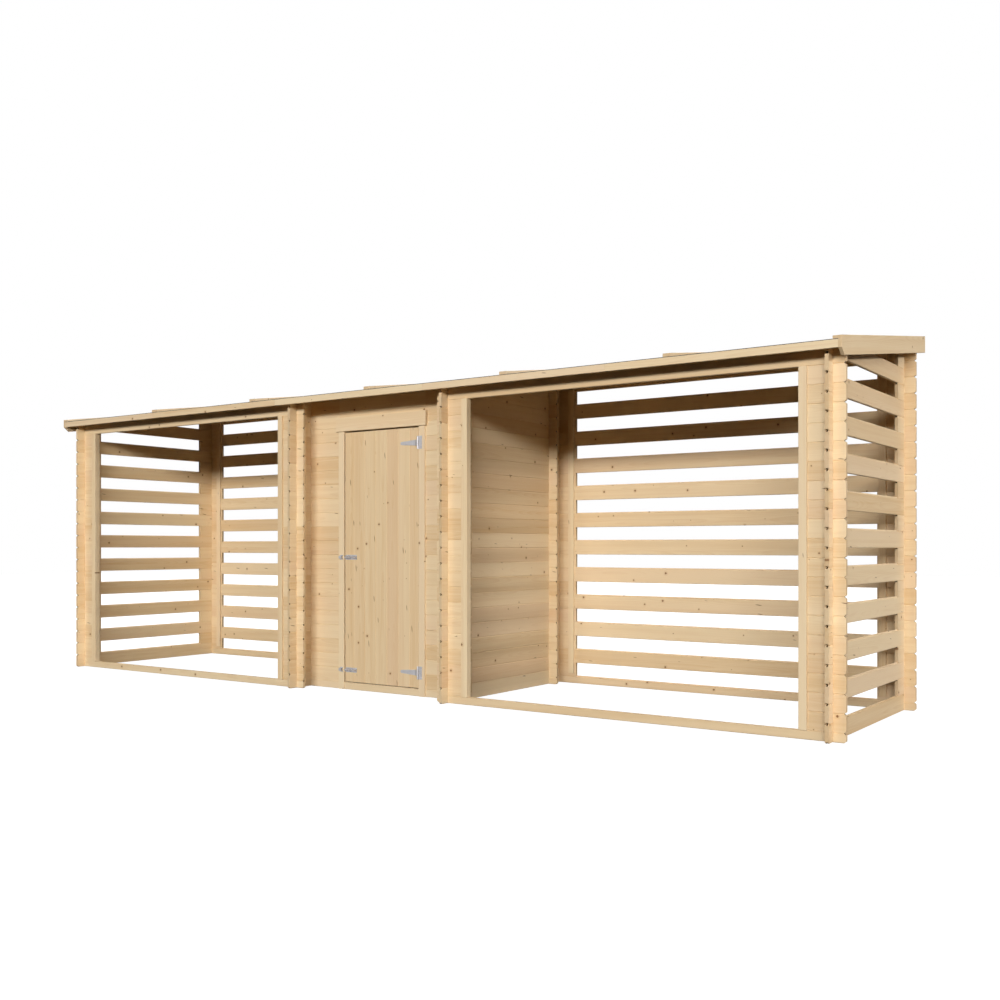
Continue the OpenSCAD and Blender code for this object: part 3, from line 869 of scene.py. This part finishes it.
def spruce(name, light, dark, knot_share, pocket_share):
    """Planed spruce between a light and a dark tone. The shares say how many cells hold a
    knot or a resin pocket."""
    material, tree, shader = start_material(name)
    grain = node(tree, "Attribute", attribute_name="grain").outputs["Vector"]
    tone, end, hole_shade = (
        node(tree, "Attribute", attribute_name=mark).outputs["Fac"]
        for mark in ("tone", "sawn_end", "hole_shade"))
    along, through, across = node(tree, "SeparateXYZ", {0: grain}).outputs

    # knots: a chance of one in each cell
    gap, chosen, grown = cells_in(tree, along, across, KNOT_CELL)
    there = reckon(tree, "LESS_THAN", chosen, knot_share)
    size = between(tree, grown, 0.0, 1.0, *KNOT_SIZES)
    wobble = noise(tree, scaled(tree, grain, (260, 260, 260)), 1.0)
    gap = add(tree, gap, swing(tree, wobble, KNOT_WOBBLE))
    spread = over(tree, gap, size)
    inside = times(tree, between(tree, spread, 1.15, 0.75), there)
    halo = times(tree, between(tree, spread, 3.2, 0.9), there)

    # resin pockets: thin streaks along the grain, a little aslant
    lean = add(tree, across, times(tree, along, POCKET_LEAN))
    off, chosen, grown = cells_in(tree, times(tree, along, POCKET_STRETCH), lean, POCKET_CELL)
    there = reckon(tree, "LESS_THAN", chosen, pocket_share)
    wide = times(tree, between(tree, grown, 0.0, 1.0, *POCKET_WIDTHS), there)
    pocket = times(tree, between(tree, off, wide, times(tree, wide, 0.4)), there)

    # rings: distance from the middle of the tree, which wanders along its length
    wander = noise(tree, scaled(tree, grain, (1.1, 5, 5)), 1.0, 1.0)
    sway = noise(tree, scaled(tree, grain, (0.5, 1.5, 1.5)), 1.0, 0.0)
    through = add(tree, through, swing(tree, wander, 0.05))
    across = add(tree, across, swing(tree, sway, 0.08))
    squares = add(tree, times(tree, through, through), times(tree, across, across))
    bent = add(tree, reckon(tree, "SQRT", squares), times(tree, halo, KNOT_BEND))
    ring = reckon(tree, "FRACT", over(tree, bent, RING))
    late = times(tree, between(tree, ring, 0.35, 0.92), between(tree, ring, 1.0, 0.94))
    fibre = noise(tree, scaled(tree, grain, (9, 900, 900)), 1.0, 2.0, 0.6)
    streak = noise(tree, scaled(tree, grain, (0.9, 34, 34)), 1.0, 3.0, 0.55)
    patch = noise(tree, scaled(tree, grain, (0.35, 6, 6)), 1.0, 1.0)

    # colour: darker in streaks, late wood and fibres, then rosy patches, then the marks, and last
    # the painted shade in the holes
    dark_share = times(tree, between(tree, streak, 0.32, 0.72), 0.42)
    dark_share = add(tree, dark_share, times(tree, late, 0.22))
    dark_share = add(tree, dark_share, swing(tree, fibre, 0.28))
    dark_share = add(tree, dark_share, swing(tree, tone, 0.75, 0.4), clamp=True)
    base = mix(tree, dark_share, (*light, 1), (*dark, 1))
    pink = node(tree, "TexWhiteNoise", {"W": tone}, noise_dimensions="1D").outputs["Value"]
    rosy = between(tree, add(tree, pink, take(tree, patch, 0.5)), 0.45, 1.1)
    blush = (light[0] * 0.93, light[1] * 0.84, light[2] * 0.88, 1)
    knot_rings = reckon(tree, "FRACT", over(tree, gap, KNOT_RING))
    for share, colour in (
            (times(tree, rosy, 0.4), blush),
            (times(tree, halo, 0.35), KNOT_HALO),
            (times(tree, pocket, 0.85), RESIN),
            (inside, mix(tree, knot_rings, KNOT_DARK, KNOT_LIGHT)),
            (times(tree, end, 0.30), END_GRAIN),
            # painted shade: the holes' sides turn dark brown
            (hole_shade, HOLE_SHADE)):
        base = mix(tree, share, base, colour)

    # finish: smoother on knots, and no shine in the holes
    rough = add(tree, 0.56, times(tree, fibre, 0.16))
    rough = take(tree, rough, times(tree, inside, 0.14))
    shine = times(tree, take(tree, 1.0, hole_shade), 0.32)
    tree.links.new(shine, shader.inputs["Specular IOR Level"])
    relief = add(tree, times(tree, fibre, 0.6), times(tree, late, 0.4))
    relief = take(tree, relief, times(tree, inside, 0.5))
    finish_with(tree, shader, base, rough, relief, 0.35, 0.0006)
    print(name, len(tree.nodes), "nodes")
    return material


log_wood = spruce("log_wood", (0.83, 0.66, 0.42), (0.70, 0.49, 0.26), 0.36, 0.14)
frame_wood = spruce("frame_wood", (0.84, 0.68, 0.44), (0.72, 0.51, 0.28), 0.14, 0.08)
door_wood = spruce("door_wood", (0.82, 0.65, 0.41), (0.71, 0.50, 0.27), 0.34, 0.40)

for wall in [*walls.values(), threshold]:
    wall.data.materials.append(log_wood)
for piece in wood_pieces:
    piece.data.materials.append(frame_wood)
for piece in (leaf, ledges):
    piece.data.materials.append(door_wood)
deck.data.materials.append(log_wood)

# %% [markdown]
# ## Zinc-plated steel
#
# The hinges and bolts are pressed from zinc-plated steel. The plating is a patchwork of
# faint crystals over a soft shine, with fine scratches. These shapes come straight from the
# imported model, so only the material is new.

# %% Zinc material
def zinc():
    """Zinc plating: faint crystals, clouds and fine level scratches."""
    material, tree, shader = start_material("zinc_steel")
    place = object_place(tree)
    crystal = node(tree, "TexVoronoi", {"Vector": place, "Scale": 220.0}).outputs["Color"]
    flake = node(tree, "SeparateColor", {0: crystal}).outputs[0]
    cloud = noise(tree, place, 60.0, 3.0)
    shade = add(tree, times(tree, flake, 0.35), times(tree, cloud, 0.65))
    base = mix(tree, shade, (0.50, 0.49, 0.51, 1), (0.70, 0.69, 0.71, 1))
    shader.inputs["Metallic"].default_value = 0.75
    scratch = noise(tree, scaled(tree, place, (60, 60, 1800)), 1.0, 2.0)
    rough = add(tree, 0.34, times(tree, scratch, 0.25))
    finish_with(tree, shader, base, rough, scratch, 0.2, 0.0002)
    print("zinc_steel", len(tree.nodes), "nodes")
    return material


zinc_steel = zinc()
for name in (
        "hinge_plates", "hinge_straps", "bolt_guides", "bolt_keepers", "upper_bolt_rod",
        "lower_bolt_rod"):
    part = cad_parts[name]
    part.data.materials.clear()
    part.data.materials.append(zinc_steel)
for piece in steel_pieces:
    piece.data.materials.append(zinc_steel)

# %% [markdown]
# ## Felt surface
#
# Roofing felt is black bitumen pressed with crushed slate. The grains are a millimetre or
# two, grey with a few pale ones, and they make the surface very rough.

# %% Felt material
def mineral_felt():
    """Dark felt with mineral grains, a little worn in places."""
    material, tree, shader = start_material("roof_felt")
    place = object_place(tree)
    grains = node(tree, "TexVoronoi", {"Vector": place, "Scale": 620.0}).outputs
    fleck = node(tree, "SeparateColor", {0: grains["Color"]}).outputs[0]
    worn = noise(tree, place, 5.0, 4.0)
    shade = add(tree, times(tree, fleck, 0.7), times(tree, worn, 0.5), clamp=True)
    base = mix(tree, shade, (0.028, 0.028, 0.027, 1), (0.125, 0.125, 0.12, 1))
    rough = add(tree, 0.82, times(tree, fleck, 0.15))
    finish_with(tree, shader, base, rough, grains["Distance"], 0.6, 0.0008)
    print("roof_felt", len(tree.nodes), "nodes")
    return material


felt.data.materials.append(mineral_felt())

# %% [markdown]
# ## Floor and light
#
# The store stands on a plain pale studio floor, which glows just enough to look white. It
# doesn't glow inside the shed: there the floor is left dark as a painted shadow of the closed
# shed, so that no light leaks out under the door. A broad soft lamp in front gives the even
# look of a studio. A weak one off the right corner and a stronger one at the right side shape
# the ends, and one behind lights the back. A last one brightens only the far end wall of the
# left bay: light linking lets a lamp reach chosen pieces. All the lamps but the one behind
# stand low, so that their light comes in under the roof. The world adds a little from above
# and nothing from below, so the roof's underside stays dark.

# %% Floor
bpy.ops.object.select_all(action="DESELECT")
bpy.ops.mesh.primitive_plane_add(size=60, location=(0, 0, 0))
floor = bpy.context.object
floor.name = "studio_floor"
paint, tree, shader = start_material("pale_floor")
spot = noise(tree, object_place(tree), 0.6)
grey = mix(tree, spot, (0.19, 0.19, 0.19, 1), (0.22, 0.22, 0.22, 1))
tree.links.new(grey, shader.inputs["Base Color"])
shader.inputs["Roughness"].default_value = 0.9
shader.inputs["Emission Color"].default_value = (1, 1, 1, 1)
# the floor glows only beyond the shed; inside the shed it stays dark as a painted shadow
ground = node(tree, "SeparateXYZ", {0: object_place(tree)}).outputs
glow_beyond_painted_shadow = reckon(tree, "MAXIMUM", *(
    reckon(tree, "GREATER_THAN", reckon(tree, "ABSOLUTE", ground[axis]), reach)
    for axis, reach in ((X, cross_x[2]), (Y, shed_wall_y))))
tree.links.new(times(tree, glow_beyond_painted_shadow, 0.93), shader.inputs["Emission Strength"])
floor.visible_diffuse = False
floor.visible_glossy = False
floor.data.materials.append(paint)
print("floor glows beyond", round(cross_x[2], 3), "m across and", round(shed_wall_y, 3), "m deep")

# %% World
world = bpy.data.worlds.new("studio")
bpy.context.scene.world = world
world.use_nodes = True
sky = world.node_tree
background = sky.nodes["Background"]
path = node(sky, "LightPath").outputs
glints = times(sky, path["Is Glossy Ray"], 0.5)
seen = reckon(sky, "MAXIMUM", path["Is Camera Ray"], glints)
up = node(sky, "SeparateXYZ", {0: node(sky, "TexCoord").outputs["Generated"]}).outputs[2]
fill = between(sky, up, -0.25, 0.9, 0.0, 0.04)
background.inputs["Color"].default_value = (1, 1, 1, 1)
strength = add(sky, times(sky, fill, take(sky, 1.0, seen)), seen)
sky.links.new(strength, background.inputs["Strength"])
print("world has", len(sky.nodes), "nodes")

# %% Lamps
LAMP_AWAY = 40.0
LAMP_AIM = Vector((0, 0, 1))


def soft_lamp(name, turn, rise, width, height, watts, colour, shine):
    """A far, broad lamp. Turn is its bearing from straight ahead to the right, and rise its
    height over the horizon, both in degrees. Shine says whether it glints on surfaces."""
    turn, rise = math.radians(turn), math.radians(rise)
    level = math.cos(rise)
    away = Vector((math.sin(turn) * level, -math.cos(turn) * level, math.sin(rise)))
    lamp_data = bpy.data.lights.new(name, "AREA")
    lamp_data.shape = "RECTANGLE"
    lamp_data.size, lamp_data.size_y = width, height
    lamp_data.energy = watts
    lamp_data.color = colour
    lamp = bpy.data.objects.new(name, lamp_data)
    lamp.location = LAMP_AIM + away * LAMP_AWAY
    lamp.rotation_euler = (-away).to_track_quat("-Z", "Y").to_euler()
    lamp.visible_glossy = shine
    bpy.context.scene.collection.objects.link(lamp)
    print(name, watts, "W")
    return lamp


soft_lamp("front_window", 17, 13.5, 30, 4.6, 13900, (1.0, 0.98, 0.97), True)
soft_lamp("corner_window", 48, 13.5, 16, 4.6, 1800, (1.0, 0.95, 0.89), False)
bay_lamp = soft_lamp("bay_window", 50, 12, 12, 4.6, 4000, (1.0, 0.92, 0.80), False)
far_wall = bpy.data.collections.new("far_wall")
far_wall.objects.link(walls["left_end_wall"])
bay_lamp.light_linking.receiver_collection = far_wall
soft_lamp("side_window", 88, 13.5, 12, 4.6, 7300, (0.99, 0.97, 1.0), False)
soft_lamp("rear_window", 205, 40, 20, 20, 15000, (1.0, 0.98, 0.96), True)
bpy.context.scene.view_settings.view_transform = "Standard"
